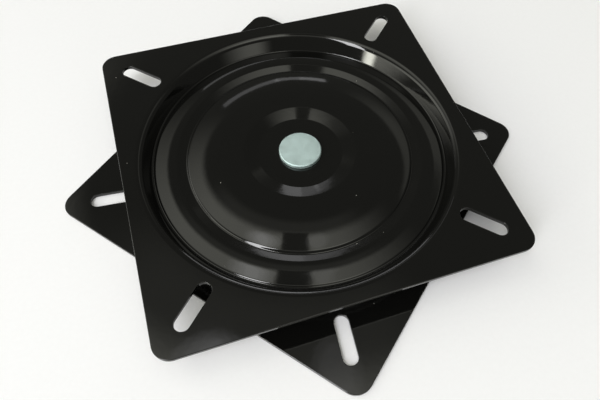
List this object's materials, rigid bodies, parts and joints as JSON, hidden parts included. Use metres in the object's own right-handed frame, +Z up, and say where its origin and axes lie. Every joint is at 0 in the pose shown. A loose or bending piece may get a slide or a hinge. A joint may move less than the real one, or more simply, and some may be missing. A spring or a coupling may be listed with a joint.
{
  "type": "boat seat swivel",
  "caption": "Low flat seat swivel: two square pressed steel plates with round dishes and corner bolt slots, turning on caged balls about a central rivet.",
  "frame": {"origin": "centre of the base plate's underside, on the swivel axis", "axes": "+Z up along the swivel axis; +X and +Y run through the base plate's corner slots; the seat plate is turned 39.8 degrees clockwise from the base plate, as in the picture"},
  "size_m": [0.245, 0.245, 0.0215],
  "materials": {
    "black_coated_steel": "gloss black electro-coat",
    "zinc_plated_steel": "bright zinc plate",
    "white_nylon": "moulded natural nylon",
    "ball_steel": "polished bearing balls"
  },
  "bodies": {
    "base": {"base_plate": "black_coated_steel", "pivot_rivet": "zinc_plated_steel", "tail_washer": "zinc_plated_steel"},
    "seat": {"seat_plate": "black_coated_steel", "pivot_bush": "white_nylon"},
    "cage": {"ball_cage": "white_nylon", "bearing_ball_01": "ball_steel", "bearing_ball_02": "ball_steel", "bearing_ball_03": "ball_steel", "bearing_ball_04": "ball_steel", "bearing_ball_05": "ball_steel", "bearing_ball_06": "ball_steel", "bearing_ball_07": "ball_steel", "bearing_ball_08": "ball_steel", "bearing_ball_09": "ball_steel", "bearing_ball_10": "ball_steel", "bearing_ball_11": "ball_steel", "bearing_ball_12": "ball_steel", "bearing_ball_13": "ball_steel", "bearing_ball_14": "ball_steel", "bearing_ball_15": "ball_steel", "bearing_ball_16": "ball_steel", "bearing_ball_17": "ball_steel", "bearing_ball_18": "ball_steel", "bearing_ball_19": "ball_steel", "bearing_ball_20": "ball_steel", "bearing_ball_21": "ball_steel", "bearing_ball_22": "ball_steel", "bearing_ball_23": "ball_steel", "bearing_ball_24": "ball_steel"}
  },
  "joints": [
    {"name": "seat_swivel", "type": "hinge", "parent": "base", "child": "seat", "pos_m": [0, 0, 0.01075], "axis": [0, 0, 1], "continuous": true},
    {"name": "cage_turn", "type": "hinge", "parent": "base", "child": "cage", "pos_m": [0, 0, 0.01075], "axis": [0, 0, 1], "continuous": true}
  ],
  "couplings": [
    {"joint": "cage_turn", "follows": "seat_swivel", "ratio": 0.5}
  ]
}
